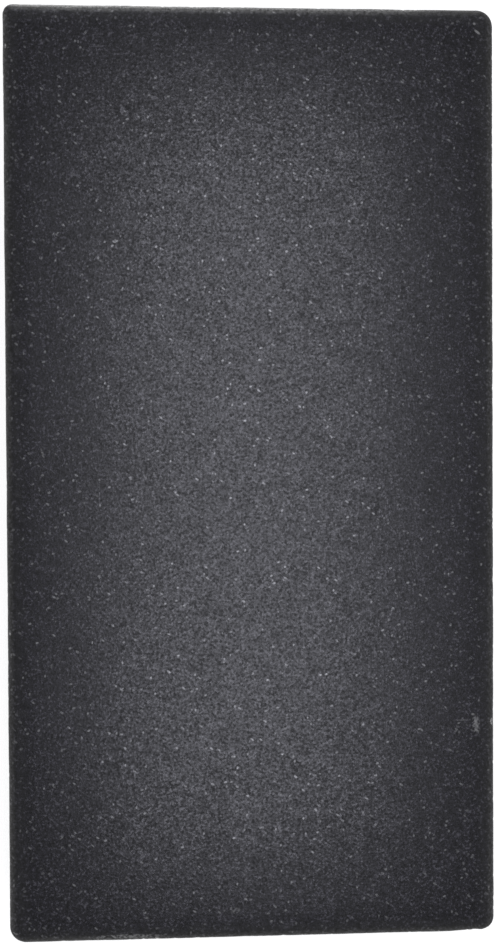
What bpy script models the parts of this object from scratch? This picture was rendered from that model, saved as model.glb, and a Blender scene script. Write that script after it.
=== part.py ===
"""Basalt massage stone: one block of basalt, sawn flat and square, with ground corners and arrises.

Run with: blender --background --python part.py
Metres, +Z up. The stone lies flat: width along X, length along Y, thickness along Z. The origin is
the middle of the face that it rests on, and +Y is its far end.
"""

import bmesh
import bpy

# The block as it is sawn
LENGTH = 0.130
WIDTH = 0.0683
THICKNESS = 0.020

# The four upright corners are ground by hand, so each has its own radius
CORNER_FAR_LEFT = 0.0015
CORNER_FAR_RIGHT = 0.0024
CORNER_NEAR_RIGHT = 0.0020
CORNER_NEAR_LEFT = 0.0023

# The arrises are the edges where a flat face meets the sides. They are eased to be kind to the skin.
# The smallest corner radius is the most that the bevel can ease them by
ARRIS_UPPER = 0.0014
ARRIS_LOWER = 0.0014

# Flats in a quarter turn, and the bevel profile that puts them on a circle
CORNER_SEGMENTS = 10
ARRIS_SEGMENTS = 8
CIRCULAR = 0.5

# Two heights closer than this are the same
NEAR = 1e-6

BASALT_COLOUR = (0.048, 0.048, 0.053, 1.0)
BASALT_ROUGHNESS = 0.5
SMOOTH_UNDER_RADIANS = 0.6


def clear_scene():
    for obj in list(bpy.data.objects):
        bpy.data.objects.remove(obj, do_unlink=True)


def basalt():
    material = bpy.data.materials.new("honed_basalt")
    material.use_nodes = True
    shader = material.node_tree.nodes["Principled BSDF"]
    shader.inputs["Base Color"].default_value = BASALT_COLOUR
    shader.inputs["Roughness"].default_value = BASALT_ROUGHNESS
    shader.inputs["Metallic"].default_value = 0.0
    material.diffuse_color = BASALT_COLOUR
    return material


def sawn_block(block):
    """A cuboid of the full size, resting on z = 0."""
    bmesh.ops.create_cube(block, size=1.0)
    bmesh.ops.scale(block, vec=(WIDTH, LENGTH, THICKNESS), verts=block.verts)
    bmesh.ops.translate(block, vec=(0.0, 0.0, THICKNESS / 2), verts=block.verts)


def round_edges(block, edges, radius, segments):
    bmesh.ops.bevel(
        block,
        geom=edges,
        offset=radius,
        offset_type="OFFSET",
        segments=segments,
        profile=CIRCULAR,
        affect="EDGES",
        clamp_overlap=True,
    )


def upright_edge(block, side, end):
    """The upright edge on this side (-1 left, 1 right) and at this end (-1 near, 1 far)."""
    return [
        edge
        for edge in block.edges
        if all(v.co.x * side > 0 and v.co.y * end > 0 for v in edge.verts)
        and abs(edge.verts[0].co.z - edge.verts[1].co.z) > NEAR
    ]


def rim_edges(block, height):
    """The closed run of edges around the flat face at this height."""
    return [edge for edge in block.edges if all(abs(v.co.z - height) < NEAR for v in edge.verts)]


def basalt_slab():
    block = bmesh.new()
    sawn_block(block)
    corners = (
        (-1, 1, CORNER_FAR_LEFT),
        (1, 1, CORNER_FAR_RIGHT),
        (1, -1, CORNER_NEAR_RIGHT),
        (-1, -1, CORNER_NEAR_LEFT),
    )
    for side, end, radius in corners:
        round_edges(block, upright_edge(block, side, end), radius, CORNER_SEGMENTS)
    round_edges(block, rim_edges(block, THICKNESS), ARRIS_UPPER, ARRIS_SEGMENTS)
    round_edges(block, rim_edges(block, 0.0), ARRIS_LOWER, ARRIS_SEGMENTS)
    # An arris as wide as a corner's radius closes that corner to one point, so its doubles are merged
    bmesh.ops.remove_doubles(block, verts=block.verts, dist=NEAR)
    bmesh.ops.recalc_face_normals(block, faces=block.faces)

    mesh = bpy.data.meshes.new("basalt_slab")
    block.to_mesh(mesh)
    block.free()
    mesh.shade_smooth()
    mesh.set_sharp_from_angle(angle=SMOOTH_UNDER_RADIANS)
    mesh.materials.append(basalt())
    slab = bpy.data.objects.new("basalt_slab", mesh)
    bpy.context.scene.collection.objects.link(slab)
    return slab


def main():
    clear_scene()
    basalt_slab()


main()
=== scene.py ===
# %% [markdown]
# # A basalt massage stone
# The real thing is one block of dark, fine-grained basalt, a little over half as wide as it is long. It is
# sawn flat, honed by hand on a wet plate until it feels like slate, and its edges are eased so that they
# don't dig into the skin. It has no moving parts. This lesson starts from the plain engineering solid and
# makes the stone that a hand would pick up: the same size, with worn edges, small chips and a real grain.
#
# Everything below is in metres, and +Z is up. The stone lies flat with its length along Y.

# %% Load the frame
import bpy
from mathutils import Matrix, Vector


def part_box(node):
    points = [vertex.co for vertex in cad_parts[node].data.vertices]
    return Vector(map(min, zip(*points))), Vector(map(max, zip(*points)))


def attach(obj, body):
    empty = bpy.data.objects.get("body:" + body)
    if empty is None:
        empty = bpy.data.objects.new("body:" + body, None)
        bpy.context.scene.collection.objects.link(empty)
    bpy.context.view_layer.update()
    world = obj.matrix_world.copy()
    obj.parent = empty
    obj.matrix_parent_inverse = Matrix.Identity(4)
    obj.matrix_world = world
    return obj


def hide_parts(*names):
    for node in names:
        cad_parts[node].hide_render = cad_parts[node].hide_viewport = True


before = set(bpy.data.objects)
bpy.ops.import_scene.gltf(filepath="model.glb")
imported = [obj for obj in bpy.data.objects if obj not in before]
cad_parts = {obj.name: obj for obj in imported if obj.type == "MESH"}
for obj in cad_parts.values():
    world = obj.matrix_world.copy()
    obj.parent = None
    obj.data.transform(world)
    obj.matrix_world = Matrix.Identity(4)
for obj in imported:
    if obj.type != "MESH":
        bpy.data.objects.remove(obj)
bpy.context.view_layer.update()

# %% [markdown]
# The modelling is done with Blender's own operators, the ones behind its menus. They act on whatever is
# selected, so each step first says what it wants. The first helper here selects whole pieces. The second
# selects a piece's edges or corner points in edit mode, by a test that each has to pass, and the third is
# such a test: which way an edge runs. Sizes on a stone like this are easier to think of in millimetres, so
# MM turns them into metres.

# %% Helpers for selecting
import math
import random

import bmesh
import bpy
from mathutils import Vector

MM = 0.001


def select_only(*pieces):
    bpy.ops.object.select_all(action="DESELECT")
    for piece in pieces:
        piece.select_set(True)
    bpy.context.view_layer.objects.active = pieces[0]


def pick(piece, kind, test):
    """In edit mode, selects the verts or edges that pass the test, and nothing else. Returns how many."""
    bpy.ops.mesh.select_mode(type={"verts": "VERT", "edges": "EDGE"}[kind])
    bpy.ops.mesh.select_all(action="DESELECT")
    mesh = bmesh.from_edit_mesh(piece.data)
    picked = [part for part in getattr(mesh, kind) if test(part)]
    for part in picked:
        part.select = True
    bmesh.update_edit_mesh(piece.data)
    return len(picked)


def runs_along(edge, axis, longer_than):
    return abs(edge.verts[0].co[axis] - edge.verts[1].co[axis]) > longer_than


# %% [markdown]
# ## The sawn block
# A mason saws a slab into blocks, so the model starts in the same way, as a cube stretched to the size of
# the engineering solid. The size is read from the frame, so the two can't disagree. The script works on the
# mesh itself, so the finished object keeps its origin at the world's origin, unturned and unscaled.

# %% Saw the block
low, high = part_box("basalt_slab")
WIDTH, LENGTH, THICKNESS = high - low
middle = (low + high) / 2

bpy.ops.object.select_all(action="DESELECT")
bpy.ops.mesh.primitive_cube_add(size=1.0, location=middle, scale=(WIDTH, LENGTH, THICKNESS))
stone = bpy.context.object
stone.name = "honed_stone"
bpy.ops.object.transform_apply(location=True, rotation=True, scale=True)
print("sawn block, mm:", [round(side / MM, 2) for side in stone.dimensions])

# %% [markdown]
# ## Corners and arrises
# The four upright corners are rounded against a grinding wheel by eye, so no two are alike. Then the
# arrises, the long edges around the upper and lower faces, are eased with a finer stone. Each is a bevel
# with a round profile. The corners come first: the arris bevels then follow them round in one smooth band.

# %% Round the corners, then the arrises
# Each corner: left -1 or right 1, near -1 or far 1, and its radius
CORNER_RADII = {(-1, 1): 1.5 * MM, (1, 1): 2.4 * MM, (1, -1): 2.0 * MM, (-1, -1): 2.3 * MM}
ARRIS = 1.4 * MM
CORNER_STEPS = 12
ARRIS_STEPS = 8
SMOOTH_UNDER = math.radians(40)
# The bevel profile that gives a quarter circle, and the distance under which two heights are the same
ROUND = 0.5
NEAR = 1e-6


def at_corner(edge, side, end):
    return all(v.co.x * side > 0 and v.co.y * end > 0 for v in edge.verts)


bpy.ops.object.mode_set(mode="EDIT")
for (side, end), radius in CORNER_RADII.items():
    pick(stone, "edges", lambda edge: runs_along(edge, 2, NEAR) and at_corner(edge, side, end))
    bpy.ops.mesh.bevel(offset=radius, segments=CORNER_STEPS, profile=ROUND, affect="EDGES")
for height in (low.z, high.z):
    rim = pick(stone, "edges", lambda edge: all(abs(v.co.z - height) < NEAR for v in edge.verts))
    bpy.ops.mesh.bevel(offset=ARRIS, segments=ARRIS_STEPS, profile=ROUND, affect="EDGES")
    print("eased an arris of", rim, "edges")

# %% [markdown]
# ## Cutting the surface into small faces
# Wear needs points to move. Subdividing the edges that run one way acts as a row of parallel saw cuts, and
# Blender carries each cut across the flat faces as well. Even cuts about 1.2 mm apart are enough for the
# faces. The arrises carry the small nicks, so a second round cuts only the band around them, four times as
# fine. It leaves alone the edges that are already short.

# %% Cut the faces
COARSE = 1.2 * MM
FINER = 3
BAND = 2.6 * MM
# Edges shorter than these are left out of the first and the second round
LONG_RUN = 5 * MM
SHORT = 0.9 * MM
# The most cuts that the operator makes at once
MOST_CUTS = 100

for axis, size in ((0, WIDTH), (1, LENGTH), (2, THICKNESS)):
    pick(stone, "edges", lambda edge: runs_along(edge, axis, LONG_RUN))
    bpy.ops.mesh.subdivide(number_cuts=min(MOST_CUTS, round(size / COARSE)), ngon=True)


def from_wall(point):
    """How far in a point is from the nearest side, seen from above."""
    return min(WIDTH / 2 - abs(point.x), LENGTH / 2 - abs(point.y))


def from_face(point):
    """How far a point is above the lower face or below the upper one."""
    return min(point.z - low.z, high.z - point.z)


def from_rim(point):
    """How far a point is from the sharp edge that the sides and the nearest face would meet in."""
    return max(from_wall(point), from_face(point))


def in_band(edge):
    return all(from_rim(v.co) < BAND for v in edge.verts)


for axis in (0, 1, 2):
    pick(stone, "edges", lambda edge: in_band(edge) and runs_along(edge, axis, SHORT))
    bpy.ops.mesh.subdivide(number_cuts=FINER, ngon=True)
bpy.ops.object.mode_set(mode="OBJECT")
print("the block now has", len(stone.data.polygons), "faces")

# %% [markdown]
# ## Years of handling
# Hand work leaves no edge perfectly even. The arrises wander by nearly a tenth of a millimetre, they are
# nibbled where single crystals have come away, and the lapped faces roll very slightly. Moving thousands of
# points by hand would take days, so Displace modifiers move them along their normals by the value of a
# cloud texture. The middle level of 1 makes every move an inward one, because wear only ever takes stone
# away. One vertex group holds the wandering and the nibbling to the arrises, and another keeps the lapping
# off the resting face.

# %% Wear the surface with Displace modifiers
WEAR_FADE = 0.9 * MM
# How far above the resting face the lapping starts, and where it is whole
FLOOR_FADE = (0.5 * ARRIS, 2 * ARRIS)


def falloff(distance, start, end):
    """1 up to start, 0 beyond end, and a smooth slope between."""
    t = min(max((end - distance) / (end - start), 0.0), 1.0)
    return t * t * (3 - 2 * t)


def paint_group(piece, name, weight_at):
    group = piece.vertex_groups.new(name=name)
    for vertex in piece.data.vertices:
        group.add([vertex.index], weight_at(vertex.co), "REPLACE")


def on_arris(point):
    return falloff(from_rim(point), ARRIS, ARRIS + WEAR_FADE)


def off_resting_face(point):
    return 1.0 - falloff(point.z - low.z, *FLOOR_FADE)


paint_group(stone, "arrises", on_arris)
paint_group(stone, "above_the_floor", off_resting_face)


def wear(piece, name, feature, depth, group, spared=None):
    """Takes up to depth off the surface, in a cloud pattern with features of this size. Where the cloud is
    over the upper of the two spared values, nothing is taken, and under the lower one, the full depth."""
    texture = bpy.data.textures.new(name, type="CLOUDS")
    texture.noise_scale = feature
    texture.noise_depth = 1
    if spared:
        texture.use_color_ramp = True
        dark, light = texture.color_ramp.elements
        dark.position, light.position = spared
        dark.color, light.color = (0, 0, 0, 1), (1, 1, 1, 1)
    select_only(piece)
    bpy.ops.object.modifier_add(type="DISPLACE")
    displace = piece.modifiers[-1]
    displace.name = name
    displace.texture = texture
    displace.texture_coords = "LOCAL"
    displace.direction = "NORMAL"
    displace.vertex_group = group
    displace.mid_level = 1.0
    displace.strength = depth
    bpy.ops.object.modifier_apply(modifier=name)


wear(stone, "lapping", feature=17 * MM, depth=0.05 * MM, group="above_the_floor")
wear(stone, "wandering", feature=5 * MM, depth=0.08 * MM, group="arrises")
wear(stone, "nibbling", feature=0.6 * MM, depth=0.07 * MM, group="arrises", spared=(0.25, 0.42))
print("worn block, mm:", [round(side / MM, 2) for side in stone.dimensions])

# %% [markdown]
# One corner has seen more of the wheel than the others: the near side falls away over its last few
# millimetres. Pulling the corner's points in with proportional editing drags their neighbours along, less
# and less with distance, which is how a slow rub takes stone off.

# %% Rub the near right corner back
RUB = 0.16 * MM
RUB_REACH = 4.5 * MM
RUB_FROM_RIGHT = 2.6 * MM
RUB_FROM_NEAR = 0.5 * MM


def in_rubbed_corner(vert):
    return vert.co.x > high.x - RUB_FROM_RIGHT and vert.co.y < low.y + RUB_FROM_NEAR


bpy.ops.object.mode_set(mode="EDIT")
moved = pick(stone, "verts", in_rubbed_corner)
bpy.ops.transform.translate(
    value=(0.0, RUB, 0.0),
    use_proportional_edit=True,
    proportional_edit_falloff="SMOOTH",
    proportional_size=RUB_REACH,
)
bpy.ops.object.mode_set(mode="OBJECT")
print("rubbed the corner through", moved, "points")
select_only(stone)
bpy.ops.object.shade_smooth_by_angle(angle=SMOOTH_UNDER)

# %% [markdown]
# ## Chips
# Basalt breaks like glass, in small shell-shaped flakes, and the arrises are where it gets knocked. Each
# chip here is a rough ball that bites into an arris by a fraction of a millimetre. The balls are joined
# and cut away in one Boolean. They carry the material of freshly broken stone, and the Boolean leaves it
# on the faces that they cut.

# %% Knock chips off the arrises
HONED = bpy.data.materials.new("honed_basalt")
CHIPPED = bpy.data.materials.new("chipped_basalt")
stone.data.materials.append(HONED)

BALL_RADIUS = 0.7 * MM
BALL_BUMPS = 0.05 * MM
# How far in from the sharp edge a round arris lies, on the slant
EASED = ARRIS * (math.sqrt(2) - 1)
# Each chip: the side it is on (x or y sign), how far along that side from its middle, its length, its depth
CHIPS = (
    ((1, 0), -35.0 * MM, 1.3 * MM, 0.24 * MM),
    ((1, 0), 21.4 * MM, 0.9 * MM, 0.12 * MM),
    ((-1, 0), 59.0 * MM, 0.9 * MM, 0.14 * MM),
    ((-1, 0), -21.7 * MM, 1.1 * MM, 0.12 * MM),
    ((0, 1), -5.0 * MM, 0.9 * MM, 0.16 * MM),
    ((0, 1), 9.3 * MM, 0.7 * MM, 0.12 * MM),
    ((0, 1), -17.6 * MM, 1.0 * MM, 0.14 * MM),
    ((0, -1), -13.6 * MM, 0.9 * MM, 0.15 * MM),
    ((0, -1), -21.9 * MM, 0.7 * MM, 0.13 * MM),
    ((0, -1), 18.2 * MM, 0.8 * MM, 0.10 * MM),
)
SEED = 11

chance = random.Random(SEED)
balls = []
for side, along, length, depth in CHIPS:
    outward = Vector((side[0], side[1], 1.0)).normalized()
    edge_point = Vector((side[0] * WIDTH / 2, side[1] * LENGTH / 2, high.z))
    edge_point += Vector((abs(side[1]), abs(side[0]), 0.0)) * along
    ball_middle = edge_point + outward * (BALL_RADIUS - depth - EASED)
    bpy.ops.object.select_all(action="DESELECT")
    bpy.ops.mesh.primitive_ico_sphere_add(subdivisions=3, radius=BALL_RADIUS, location=ball_middle)
    ball = bpy.context.object
    stretch = length / (2 * math.sqrt(BALL_RADIUS**2 - (BALL_RADIUS - depth) ** 2))
    ball.scale = (1 if side[0] else stretch, 1 if side[1] else stretch, 1)
    bpy.ops.object.transform_apply(location=True, rotation=True, scale=True)
    bpy.ops.object.mode_set(mode="EDIT")
    bpy.ops.mesh.select_all(action="SELECT")
    seed = chance.randrange(1000)
    bpy.ops.transform.vertex_random(offset=BALL_BUMPS, uniform=0.0, normal=0.0, seed=seed)
    bpy.ops.object.mode_set(mode="OBJECT")
    ball.data.materials.append(CHIPPED)
    balls.append(ball)

select_only(*balls)
bpy.ops.object.join()
cutter = bpy.context.object
select_only(stone)
bpy.ops.object.modifier_add(type="BOOLEAN")
bite = stone.modifiers[-1]
bite.operation = "DIFFERENCE"
bite.solver = "EXACT"
bite.material_mode = "TRANSFER"
bite.object = cutter
bpy.ops.object.modifier_apply(modifier=bite.name)
bpy.data.objects.remove(cutter, do_unlink=True)
bpy.ops.object.shade_smooth_by_angle(angle=SMOOTH_UNDER)
chipped_faces = sum(face.material_index > 0 for face in stone.data.polygons)
print("chips:", len(CHIPS), "with", chipped_faces, "faces, of", len(stone.data.polygons), "in all")

# %% [markdown]
# ## Where the stone is worn by rubbing, and where its arrises get a painted highlight
# The shader needs to know which points lie on the arrises, and which of those carry knocks. Two
# attributes on the mesh hold that, from 0 to 1. Knocks land on the crest, near the middle of the arris's
# round, and leave a haze of crushed stone beside it. Along its middle, the far arris gets the crest and the
# haze in full: there they are a few knocks and mostly a painted highlight, for light from the far side
# catching the edge. The arris band as a whole also carries a painted highlight.

# %% Paint the places worn by rubbing and knocks, and the painted highlight on the arrises
# Along the far arris, between these two places and fading beyond them, the pale crest and haze are laid in
# full, mostly as a painted highlight
BRUISED_AND_HIGHLIT_FROM = -24 * MM
BRUISED_AND_HIGHLIT_TO = 19 * MM
BRUISED_AND_HIGHLIT_FADE = 8 * MM
BRUISED_ELSEWHERE = 0.06
HAZE = 0.35
# How far the crest reaches in from the side and down from the face, and how far the haze reaches from the
# rim: each is whole up to the first distance and gone at the second
CREST_IN = (0.20 * ARRIS, 0.54 * ARRIS)
CREST_DOWN = (0.64 * ARRIS, 0.93 * ARRIS)
HAZE_REACH = (0.4 * ARRIS, 1.1 * ARRIS)
# How far beyond the arris the grey coat, which is partly a painted highlight, fades out
RUBBED_AND_HIGHLIT_FADE = 0.5 * MM


def paint(piece, name, value_at):
    attribute = piece.data.attributes.new(name, "FLOAT", "POINT")
    for vertex, stored in zip(piece.data.vertices, attribute.data):
        stored.value = value_at(vertex.co)


# The arris band: greyed by handling, and lightened there as a painted highlight
def rubbed_and_highlit(point):
    return falloff(from_rim(point), ARRIS, ARRIS + RUBBED_AND_HIGHLIT_FADE)


# Pale crushed stone on the crest and beside it; along the middle of the far arris, mostly a painted highlight
def bruised_and_highlit(point):
    along = max(BRUISED_AND_HIGHLIT_FROM - point.x, point.x - BRUISED_AND_HIGHLIT_TO, 0.0)
    knocked_and_highlit = falloff(along, 0.0, BRUISED_AND_HIGHLIT_FADE) if point.y > LENGTH / 2 - BAND else 0.0
    crest = falloff(from_wall(point), *CREST_IN) * falloff(from_face(point), *CREST_DOWN)
    haze = HAZE * falloff(from_rim(point), *HAZE_REACH)
    return max(crest, haze) * max(knocked_and_highlit, BRUISED_ELSEWHERE)


paint(stone, "rubbed_and_highlit", rubbed_and_highlit)
paint(stone, "bruised_and_highlit", bruised_and_highlit)
print("painted", len(stone.data.vertices), "points")

# %% [markdown]
# ## A flat map of the surface
# The patterns below are worked out in space, so the render needs no UV map. A copy of the stone in another
# program does, because there the colours come from a picture. Blender can unwrap by itself, but it gives
# every side the same sharpness. This map is laid out like the net of a box: the upper face, which
# is seen most, gets half of the picture, and the face that the stone rests on is the least sharp. Every
# little face goes to the side that it faces most.

# %% Lay the six sides out flat
# Each chart: the axis that its side faces and which way, the axes that run across and up the picture, the
# chart's lower left corner in the picture, and how much stone the picture's whole width stands for
CHARTS = (
    (2, 1, 1, 0, (0.01, 0.010), 133 * MM),
    (0, 1, 1, 2, (0.01, 0.540), 200 * MM),
    (0, -1, 1, 2, (0.01, 0.655), 200 * MM),
    (2, -1, 1, 0, (0.01, 0.765), 300 * MM),
    (1, 1, 0, 2, (0.46, 0.765), 200 * MM),
    (1, -1, 0, 2, (0.46, 0.880), 200 * MM),
)
MAP_NAME = "OFBake"

flat_map = stone.data.uv_layers.new(name=MAP_NAME)
for face in stone.data.polygons:
    chart = max(CHARTS, key=lambda side: face.normal[side[0]] * side[1])
    across, up, corner, span = chart[2:]
    for loop in face.loop_indices:
        point = stone.data.vertices[stone.data.loops[loop].vertex_index].co - low
        flat_map.uv[loop].vector = (corner[0] + point[across] / span, corner[1] + point[up] / span)
print("laid out", len(CHARTS), "sides")

# %% [markdown]
# ## The stone's own colours
# Basalt is a dark mosaic of crystals, each a quarter of a millimetre or so: near-black pyroxene, grey
# groundmass, specks of magnetite with a metal's glint and a few pale needles of feldspar. Honing with fine
# grit leaves it satin, with neither the mirror of a polish nor the chalk of a sawn face. A material like
# this is a net of nodes, so one helper adds a node, and another turns the colours that people write, sRGB
# hex values, into the linear ones that light is worked out in.

# %% Colours and a node helper
def linear(hex_colour):
    """An sRGB colour such as #2f3034, as the linear red, green, blue and alpha that the shader needs."""
    channels = [int(hex_colour[i : i + 2], 16) / 255 for i in (1, 3, 5)]
    return [c / 12.92 if c <= 0.04045 else ((c + 0.055) / 1.055) ** 2.4 for c in channels] + [1.0]


def grey(value):
    return [value, value, value, 1.0]


def add_node(tree, node_type, feeds=None, output=0, stops=(), **settings):
    """Adds a node, makes its settings, gives its inputs their values or links, sets the stops of its colour
    ramp if it has one, and returns the output that is asked for."""
    node = tree.nodes.new(node_type)
    for name, value in settings.items():
        setattr(node, name, value)
    for name, value in (feeds or {}).items():
        if isinstance(value, bpy.types.NodeSocket):
            tree.links.new(value, node.inputs[name])
        else:
            node.inputs[name].default_value = value
    if stops:
        elements = node.color_ramp.elements
        while len(elements) < len(stops):
            elements.new(1.0)
        for element, (position, colour) in zip(elements, stops):
            element.position = position
            element.color = colour
    return node.outputs[output]


# %% [markdown]
# Voronoi cells of a real crystal's size stand for the crystals, and each cell comes with a random colour.
# Its red channel is the luck of that crystal. Real crystals are stretched and run together, so two kinds of
# cloud are added to the luck: curds of the crystals' own size, and wider ones that make the stone a little
# patchy. Map Range nodes stretch a cloud's middle values over the whole of 0 to 1. The sum is one number,
# from 0 for the blackest crystal to 1 for the palest. Colour, gloss and metallic value are all read from
# it, so that a black crystal is also a dull one, as in the rock. Real grain is from 0.1 mm; it is drawn
# 0.27 mm wide, the finest that still shows.

# %% Crystals
GRAIN = 0.27 * MM
CURD = 0.34 * MM
CLOUD = 2.4 * MM
CURD_ROUGHNESS = 0.6
CURD_SPREAD = {"From Min": 0.3, "From Max": 0.7}
CLOUD_SHARE = 0.55
KIND_SPREAD = {"From Min": 0.57, "From Max": 1.97}
BASALT_IOR = 1.55

HONED.use_nodes = True
tree = HONED.node_tree
shader = tree.nodes["Principled BSDF"]
shader.inputs["IOR"].default_value = BASALT_IOR

place = add_node(tree, "ShaderNodeTexCoord", output="Object")
crystals = add_node(tree, "ShaderNodeTexVoronoi", {"Vector": place, "Scale": 1 / GRAIN}, "Color")
luck = add_node(tree, "ShaderNodeSeparateColor", {"Color": crystals})
feeds = {"Vector": place, "Scale": 1 / CURD, "Detail": 1.0, "Roughness": CURD_ROUGHNESS}
curds = add_node(tree, "ShaderNodeTexNoise", feeds)
curds = add_node(tree, "ShaderNodeMapRange", {"Value": curds, **CURD_SPREAD})
luck = add_node(tree, "ShaderNodeMath", {0: luck, 1: curds}, operation="ADD")
clouds = add_node(tree, "ShaderNodeTexNoise", {"Vector": place, "Scale": 1 / CLOUD, "Detail": 2.0})
luck = add_node(tree, "ShaderNodeMath", {0: clouds, 1: CLOUD_SHARE, 2: luck}, operation="MULTIPLY_ADD")
kind = add_node(tree, "ShaderNodeMapRange", {"Value": luck, **KIND_SPREAD})
print("crystals", round(GRAIN / MM, 2), "mm wide, about", round((MM / GRAIN) ** 2), "to a square millimetre")

# %% [markdown]
# The minerals of basalt follow one another along that number. Magnetite is an iron ore, so it is partly
# metallic; being nearly black, it then throws back less light than glassy stone does, which is why the
# darkest grains look sunk. Pyroxene is near black and glassy. The groundmass between them is a dark grey
# with a touch of violet, and the palest grains are small feldspars. The paler a grain, the better the
# honing has polished it, so roughness falls from the first stop to the last. Three colour ramps read the
# same number, one each for colour, roughness and metallic value.

# %% What each kind of crystal looks like
# Each stop: its place on the scale, its colour, its roughness, how metallic it is
CRYSTAL_KINDS = (
    (0.00, "#08080a", 0.41, 0.31),
    (0.20, "#0f0e11", 0.37, 0.17),
    (0.40, "#161519", 0.33, 0.06),
    (0.60, "#201f24", 0.275, 0.0),
    (0.85, "#35343a", 0.23, 0.0),
    (1.00, "#525157", 0.20, 0.0),
)

tones = [(spot, linear(shade)) for spot, shade, roughness, metal in CRYSTAL_KINDS]
polishes = [(spot, grey(roughness)) for spot, shade, roughness, metal in CRYSTAL_KINDS]
ores = [(spot, grey(metal)) for spot, shade, roughness, metal in CRYSTAL_KINDS]
tone = add_node(tree, "ShaderNodeValToRGB", {"Fac": kind}, stops=tones)
polish = add_node(tree, "ShaderNodeValToRGB", {"Fac": kind}, stops=polishes)
ore = add_node(tree, "ShaderNodeValToRGB", {"Fac": kind}, stops=ores)
print("crystal colours run from", CRYSTAL_KINDS[0][1], "to", CRYSTAL_KINDS[-1][1])

# %% [markdown]
# Here and there a larger feldspar has grown, as a pale lath up to 0.7 mm long. A second Voronoi on
# stretched coordinates makes long cells that all lie one way. Most of them stay empty: only those with the
# best luck hold a lath, and the distance from the cell's middle gives the lath its rounded end. Three such
# sets in three directions look random enough.

# %% Pale laths of feldspar
# Each set: its direction in degrees, the length and the width of its cells
LATH_SETS = ((20, 0.8 * MM, 0.55 * MM), (80, 0.7 * MM, 0.50 * MM), (-35, 1.0 * MM, 0.50 * MM))
LATH_LUCK = {"From Min": 0.92, "From Max": 0.98}
LATH_EDGE = {"From Min": 0.36, "From Max": 0.18}


def laths(degrees, length, width):
    """Laths that all lie one way: 1 inside a lath and 0 between them."""
    feeds = {"Vector": place, "Rotation": (0.0, 0.0, math.radians(degrees)), "Scale": (length, width, width)}
    turned = add_node(tree, "ShaderNodeMapping", feeds, vector_type="TEXTURE")
    cells = add_node(tree, "ShaderNodeTexVoronoi", {"Vector": turned, "Scale": 1.0}, "Color")
    cell_luck = add_node(tree, "ShaderNodeSeparateColor", {"Color": cells})
    chosen = add_node(tree, "ShaderNodeMapRange", {"Value": cell_luck, **LATH_LUCK})
    inside = add_node(tree, "ShaderNodeMapRange", {"Value": cells.node.outputs["Distance"], **LATH_EDGE})
    return add_node(tree, "ShaderNodeMath", {0: chosen, 1: inside}, operation="MULTIPLY")


feldspar = 0.0
for lath_set in LATH_SETS:
    feldspar = add_node(tree, "ShaderNodeMath", {0: feldspar, 1: laths(*lath_set)}, operation="MAXIMUM")
print("feldspar laths in", len(LATH_SETS), "directions")

# %% [markdown]
# ## Marks of use
# A stone that is drawn over skin and dropped back in its tray picks up pale scuffs, where the surface has
# been crushed and no longer shines. Each is an ellipse laid on the upper face with a Mapping node: inside
# it, the distance from the middle is under 1. Most scuffs are broken up by a speckle, because only the high
# grains are touched. A short scratch stays whole.

# %% Marks of use
BLOTCH = 0.35 * MM
BLOTCH_EDGE = {"From Min": 0.42, "From Max": 0.6}
# How far down from the upper face a mark still shows
MARK_REACH = 2 * MM
MARK_FADE = {"From Min": 1.0, "From Max": 0.5}
# Each mark: its middle x and y, its length and width, its direction in degrees, how pale it is, if blotchy
MARKS = (
    (31.72 * MM, 61.6 * MM, 1.25 * MM, 0.42 * MM, -38, 1.0, False),
    (31.3 * MM, 62.75 * MM, 0.5 * MM, 0.42 * MM, 0, 0.8, False),
    (31.35 * MM, -35.3 * MM, 3.4 * MM, 1.2 * MM, 95, 1.0, True),
    (31.35 * MM, -35.2 * MM, 2.6 * MM, 0.6 * MM, 97, 0.55, False),
    (30.9 * MM, -33.9 * MM, 0.6 * MM, 0.4 * MM, 0, 0.7, False),
    (29.4 * MM, -34.7 * MM, 2.8 * MM, 0.16 * MM, 0, 0.35, False),
    (16.1 * MM, 43.4 * MM, 2.6 * MM, 1.1 * MM, -20, 0.3, True),
    (-29.0 * MM, 3.1 * MM, 1.7 * MM, 0.4 * MM, -75, 0.6, True),
    (-2.7 * MM, -60.9 * MM, 1.6 * MM, 1.0 * MM, 10, 0.55, True),
    (4.4 * MM, 14.0 * MM, 1.4 * MM, 0.9 * MM, 40, 0.5, True),
    (-18.0 * MM, -64.2 * MM, 12.0 * MM, 0.9 * MM, 0, 1.0, True),
)
speckle = add_node(tree, "ShaderNodeTexNoise", {"Vector": place, "Scale": 1 / BLOTCH, "Detail": 2.0})
speckle = add_node(tree, "ShaderNodeMapRange", {"Value": speckle, **BLOTCH_EDGE})


def mark(x, y, length, width, degrees, pale, blotchy):
    """An ellipse on the upper face, from how pale it is in its middle down to 0 at its edge."""
    feeds = {
        "Vector": place,
        "Location": (x, y, high.z),
        "Rotation": (0.0, 0.0, math.radians(degrees)),
        "Scale": (length / 2, width / 2, MARK_REACH),
    }
    local = add_node(tree, "ShaderNodeMapping", feeds, vector_type="TEXTURE")
    reach = add_node(tree, "ShaderNodeVectorMath", {0: local}, "Value", operation="LENGTH")
    ellipse = add_node(tree, "ShaderNodeMapRange", {"Value": reach, "To Max": pale, **MARK_FADE})
    if blotchy:
        ellipse = add_node(tree, "ShaderNodeMath", {0: ellipse, 1: speckle}, operation="MULTIPLY")
    return ellipse


scuffed = 0.0
for values in MARKS:
    scuffed = add_node(tree, "ShaderNodeMath", {0: scuffed, 1: mark(*values)}, operation="MAXIMUM")
print("marks of use:", len(MARKS))

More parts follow.
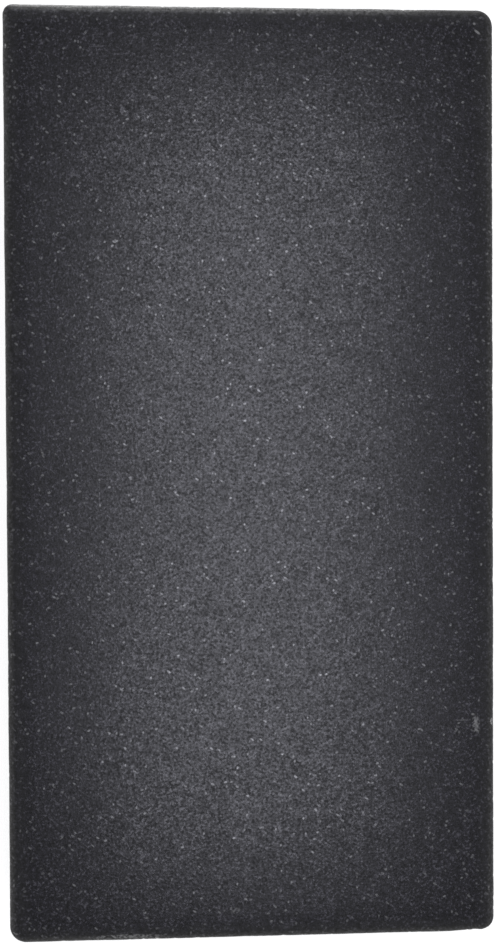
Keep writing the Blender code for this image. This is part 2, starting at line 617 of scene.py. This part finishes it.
# %% [markdown]
# The arrises get the most handling. Skin oil and rubbing leave them a shade greyer and more even, and the
# same grey coat lightens the arris band as a painted highlight. Knocks leave bruises, little patches of
# crushed, pale stone; along the middle of the far arris these pale patches are mostly a painted highlight,
# for light from the far side catching the edge. The painted attributes say where each may be, and a cloud of
# 0.4 mm breaks the bruises up. Each becomes a mask, a number from 0 to at most 1.

# %% Arrises greyed by rubbing and pale from knocks, partly a painted highlight
KNOCK = 0.4 * MM
KNOCK_EDGE = {"From Min": 0.34, "From Max": 0.58}
# How far the arris band turns to the grey coat, partly from handling and partly as a painted highlight
RUBBED_AND_HIGHLIT_SHARE = 0.4

knocks = add_node(tree, "ShaderNodeTexNoise", {"Vector": place, "Scale": 1 / KNOCK, "Detail": 1.0})
knocks = add_node(tree, "ShaderNodeMapRange", {"Value": knocks, **KNOCK_EDGE})
# The pale patches: crushed stone, and along the far arris mostly a painted highlight
bruise_and_highlight = add_node(tree, "ShaderNodeAttribute", output="Fac", attribute_name="bruised_and_highlit")
bruise_and_highlight = add_node(tree, "ShaderNodeMath", {0: knocks, 1: bruise_and_highlight}, operation="MULTIPLY")
# The arris band's grey coat: partly handling, partly a painted highlight
handled_and_highlit = add_node(tree, "ShaderNodeAttribute", output="Fac", attribute_name="rubbed_and_highlit")
handled_and_highlit = add_node(tree, "ShaderNodeMath", {0: handled_and_highlit, 1: RUBBED_AND_HIGHLIT_SHARE}, operation="MULTIPLY")
print("bruises are", round(KNOCK / MM, 2), "mm wide, and handling greys the arrises by", RUBBED_AND_HIGHLIT_SHARE)

# %% [markdown]
# Mix nodes then lay the colours on each other like coats of paint, from the crystals up to the scuffs.
# Crushed stone is dull, so the roughness follows it. Feldspar splits along flat, bright faces that glint,
# and a share of metallic gives it that glint. A faint bump round each crystal is the last of what the
# honing leaves.

# %% Put the honed surface together
FELDSPAR_GLINT = 0.75
CRUSHED_ROUGHNESS = 0.5
RELIEF = 0.02 * MM
RELIEF_STRENGTH = 0.3
# Each coat: where it lies and its colour
# The first coat greys the arrises and lightens them as a painted highlight; the pale crushed-stone coat after
# the feldspar is, along the far arris, mostly a painted highlight
COATS = ((handled_and_highlit, "#353534"), (feldspar, "#808081"), (bruise_and_highlight, "#949493"), (scuffed, "#848484"))

colour = tone
for mask, coat in COATS:
    feeds = {"Factor": mask, "A": colour, "B": linear(coat)}
    colour = add_node(tree, "ShaderNodeMix", feeds, "Result", data_type="RGBA")
glint = add_node(tree, "ShaderNodeMath", {0: feldspar, 1: FELDSPAR_GLINT}, operation="MULTIPLY")
metallic = add_node(tree, "ShaderNodeMath", {0: glint, 1: ore}, operation="MAXIMUM")
crushed = add_node(tree, "ShaderNodeMath", {0: bruise_and_highlight, 1: scuffed}, operation="MAXIMUM")
feeds = {"Factor": crushed, "A": polish, "B": grey(CRUSHED_ROUGHNESS)}
rough = add_node(tree, "ShaderNodeMix", feeds, "Result", data_type="RGBA")
feeds = {"Height": crystals.node.outputs["Distance"], "Strength": RELIEF_STRENGTH, "Distance": RELIEF}
relief = add_node(tree, "ShaderNodeBump", feeds)
honed_look = {"Base Color": colour, "Metallic": metallic, "Roughness": rough, "Normal": relief}
for socket, value in honed_look.items():
    tree.links.new(value, shader.inputs[socket])
print("the honed basalt has", len(tree.nodes), "nodes")

# %% [markdown]
# A chip shows the stone as it breaks. Nothing has smoothed its crystals, so they scatter light: the hollow
# is dull and a good deal lighter than the honed face, and it is grainy at the size of a crystal.

# %% Broken basalt
BROKEN_COLOURS = [(0.0, linear("#565656")), (0.5, linear("#8c8c8b")), (1.0, linear("#b9b9b7"))]
BROKEN_ROUGHNESS = {"A": grey(0.55), "B": grey(0.75)}
BROKEN_RELIEF = 0.04 * MM
BROKEN_STRENGTH = 0.6

CHIPPED.use_nodes = True
tree = CHIPPED.node_tree
shader = tree.nodes["Principled BSDF"]
shader.inputs["IOR"].default_value = BASALT_IOR

place = add_node(tree, "ShaderNodeTexCoord", output="Object")
grit = add_node(tree, "ShaderNodeTexNoise", {"Vector": place, "Scale": 1 / GRAIN, "Detail": 2.0})
grit = add_node(tree, "ShaderNodeMapRange", {"Value": grit, **CURD_SPREAD})
broken = add_node(tree, "ShaderNodeValToRGB", {"Fac": grit}, stops=BROKEN_COLOURS)
feeds = {"Factor": grit, **BROKEN_ROUGHNESS}
rough = add_node(tree, "ShaderNodeMix", feeds, "Result", data_type="RGBA")
feeds = {"Height": grit, "Strength": BROKEN_STRENGTH, "Distance": BROKEN_RELIEF}
relief = add_node(tree, "ShaderNodeBump", feeds)
for socket, value in {"Base Color": broken, "Roughness": rough, "Normal": relief}.items():
    tree.links.new(value, shader.inputs[socket])
print("the broken basalt has", len(tree.nodes), "nodes")

# %% [markdown]
# ## The stage
# The stone lies on a plain pale floor in a white studio. The floor glows a little, so that it stays white
# right up to the stone. It is hidden from reflections, or the arrises and the sides would mirror its white.
# A wide white ring stands far around it, so that a low camera sees no dark horizon; only the camera sees
# that ring.

# %% The stage
FLOOR_SIZE = 6.0
FLOOR_GLOW = 0.75
SWEEP_RADIUS = 2.9
SWEEP_HEIGHT = 3.0
SWEEP_SIDES = 96
MATT = 0.9


def glowing_paint(name, colour, strength):
    paint_material = bpy.data.materials.new(name)
    paint_material.use_nodes = True
    paint_shader = paint_material.node_tree.nodes["Principled BSDF"]
    paint_shader.inputs["Base Color"].default_value = linear(colour)
    paint_shader.inputs["Roughness"].default_value = MATT
    paint_shader.inputs["Emission Color"].default_value = grey(1.0)
    paint_shader.inputs["Emission Strength"].default_value = strength
    return paint_material


bpy.ops.object.select_all(action="DESELECT")
bpy.ops.mesh.primitive_plane_add(size=FLOOR_SIZE, location=(0, 0, low.z))
floor = bpy.context.object
floor.name = "floor"
floor.data.materials.append(glowing_paint("pale_floor", "#e8e8e8", FLOOR_GLOW))
floor.visible_glossy = False

bpy.ops.mesh.primitive_cylinder_add(
    vertices=SWEEP_SIDES,
    radius=SWEEP_RADIUS,
    depth=SWEEP_HEIGHT,
    end_fill_type="NOTHING",
    location=(0, 0, low.z + SWEEP_HEIGHT / 2),
)
sweep = bpy.context.object
sweep.name = "sweep"
sweep.data.materials.append(glowing_paint("pale_sweep", "#000000", 1.0))
for ray in ("visible_diffuse", "visible_glossy", "visible_shadow", "visible_transmission"):
    setattr(sweep, ray, False)
print("floor", FLOOR_SIZE, "m across, with a sweep", SWEEP_HEIGHT, "m high")

# %% [markdown]
# ## The studio light
# A dark satin stone shows its surroundings more than its own colour, so the room makes most of the look.
# The world is a ramp from straight down to straight up. The walls are pale and neutral, and the ceiling is
# dim and as cool as the softbox. Two walls are brighter than the rest: the far one, which draws the light
# line along the far arris, and a weaker one on the right. The far one is brightest below the horizon. The
# flat upper face can't mirror that part, and the arris can, because it leans that way. Each is the same
# sort of ramp, kept to its own side by how squarely a direction faces that wall, and a power that makes it
# narrow.

# %% The studio around the stone
COOL = (0.99, 1.0, 1.095)
NEUTRAL = (1.0, 1.0, 1.0)
CEILING_FROM = 40
# Each ramp: elevation in degrees and how bright the room is there
WALLS = ((-5, 0.42), (0, 0.45), (35, 0.40), (60, 0.19), (72, 0.10), (90, 0.10))
FAR_WALL_LOW = ((-35, 2.0), (-5, 2.8), (3, 0.95), (15, 0.85))
FAR_WALL = FAR_WALL_LOW + ((30, 1.4), (42, 1.6), (54, 1.05), (66, 0.33), (76, 0.0))
RIGHT_WALL = ((-35, 0.0), (15, 0.0), (39, 0.18), (52, 0.23), (64, 0.06), (75, 0.0))
# Each bright wall: its ramp, the way to it, and the power
BRIGHT_WALLS = ((FAR_WALL, (-0.1, 0.995, 0.0), 40.0), (RIGHT_WALL, (1.0, 0.0, 0.0), 3.0))


def up_the_wall(levels):
    """The stops of a ramp that runs from straight down to straight up."""
    stops = []
    for elevation, brightness in levels:
        tint = COOL if elevation > CEILING_FROM else NEUTRAL
        spot = (math.sin(math.radians(elevation)) + 1) / 2
        stops.append((spot, [brightness * part for part in tint] + [1.0]))
    return stops


world = bpy.data.worlds.new("studio")
bpy.context.scene.world = world
world.use_nodes = True
sky = world.node_tree

direction = add_node(sky, "ShaderNodeTexCoord", output="Generated")
height = add_node(sky, "ShaderNodeSeparateXYZ", {"Vector": direction}, "Z")
height = add_node(sky, "ShaderNodeMapRange", {"Value": height, "From Min": -1.0})
level = add_node(sky, "ShaderNodeVectorMath", {0: direction, 1: (1.0, 1.0, 0.0)}, operation="MULTIPLY")
level = add_node(sky, "ShaderNodeVectorMath", {0: level}, operation="NORMALIZE")
room = add_node(sky, "ShaderNodeValToRGB", {"Fac": height}, stops=up_the_wall(WALLS))
for levels, toward, power in BRIGHT_WALLS:
    glow = add_node(sky, "ShaderNodeValToRGB", {"Fac": height}, stops=up_the_wall(levels))
    facing = add_node(sky, "ShaderNodeVectorMath", {0: level, 1: toward}, "Value", operation="DOT_PRODUCT")
    facing = add_node(sky, "ShaderNodeMath", {0: facing, 1: 0.0}, operation="MAXIMUM")
    facing = add_node(sky, "ShaderNodeMath", {0: facing, 1: power}, operation="POWER")
    glow = add_node(sky, "ShaderNodeVectorMath", {0: glow, 1: facing}, operation="MULTIPLY")
    room = add_node(sky, "ShaderNodeVectorMath", {0: room, 1: glow}, operation="ADD")
sky.links.new(room, sky.nodes["Background"].inputs["Color"])
print("the room has", len(BRIGHT_WALLS), "bright walls and", len(sky.nodes), "nodes")

# %% [markdown]
# One softbox hangs over the stone, long side along it. Its blurred image is the bright middle of the upper
# face, and it hangs a little to the right and towards the near end, so that the bright middle lies there. A
# lamp's strength is given in watts, so the radiance that a softbox shows is turned into watts first.

# %% The softbox
SOFTBOX_SIZE = (67 * MM, 191 * MM)
SOFTBOX_OVER = Vector((9 * MM, -4.3 * MM, high.z))
SOFTBOX_UP = 159 * MM
SOFTBOX_RADIANCE = 2.32

bpy.ops.object.light_add(type="AREA", location=SOFTBOX_OVER + Vector((0.0, 0.0, SOFTBOX_UP)))
softbox = bpy.context.object
softbox.name = "overhead_softbox"
softbox.visible_camera = False
softbox.data.shape = "RECTANGLE"
softbox.data.size, softbox.data.size_y = SOFTBOX_SIZE
softbox.data.color = COOL
softbox.data.energy = SOFTBOX_RADIANCE * math.pi * SOFTBOX_SIZE[0] * SOFTBOX_SIZE[1]
print("softbox of", round(softbox.data.energy, 4), "W")

# %% [markdown]
# ## The camera
# The stone is seen from about 20 cm, and almost straight from above. The camera is turned by small tilts
# from looking straight down, so the far end looks a touch wider than the near one. Where it stands follows
# from where it aims and how far off it is. The view transform is Standard, which leaves whites white.

# %% The camera
SENSOR = 36.0
LENS = 54.92
DISTANCE = 201.5 * MM
AIM = Vector((-0.38 * MM, 0.25 * MM, high.z - 0.95 * MM))
TILTS = (-1.117, -3.545, -0.295)

bpy.ops.object.camera_add()
camera = bpy.context.object
camera.data.sensor_width = SENSOR
camera.data.lens = LENS
camera.data.clip_start = 1 * MM
camera.rotation_euler = [math.radians(tilt) for tilt in TILTS]
looking = camera.rotation_euler.to_matrix() @ Vector((0, 0, -1))
camera.location = AIM - looking * DISTANCE
bpy.context.scene.camera = camera
bpy.context.scene.view_settings.view_transform = "Standard"
print("camera at, mm:", [round(value / MM, 1) for value in camera.location])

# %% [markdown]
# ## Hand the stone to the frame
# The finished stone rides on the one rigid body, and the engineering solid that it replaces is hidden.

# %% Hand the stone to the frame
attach(stone, "root")
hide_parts("basalt_slab")
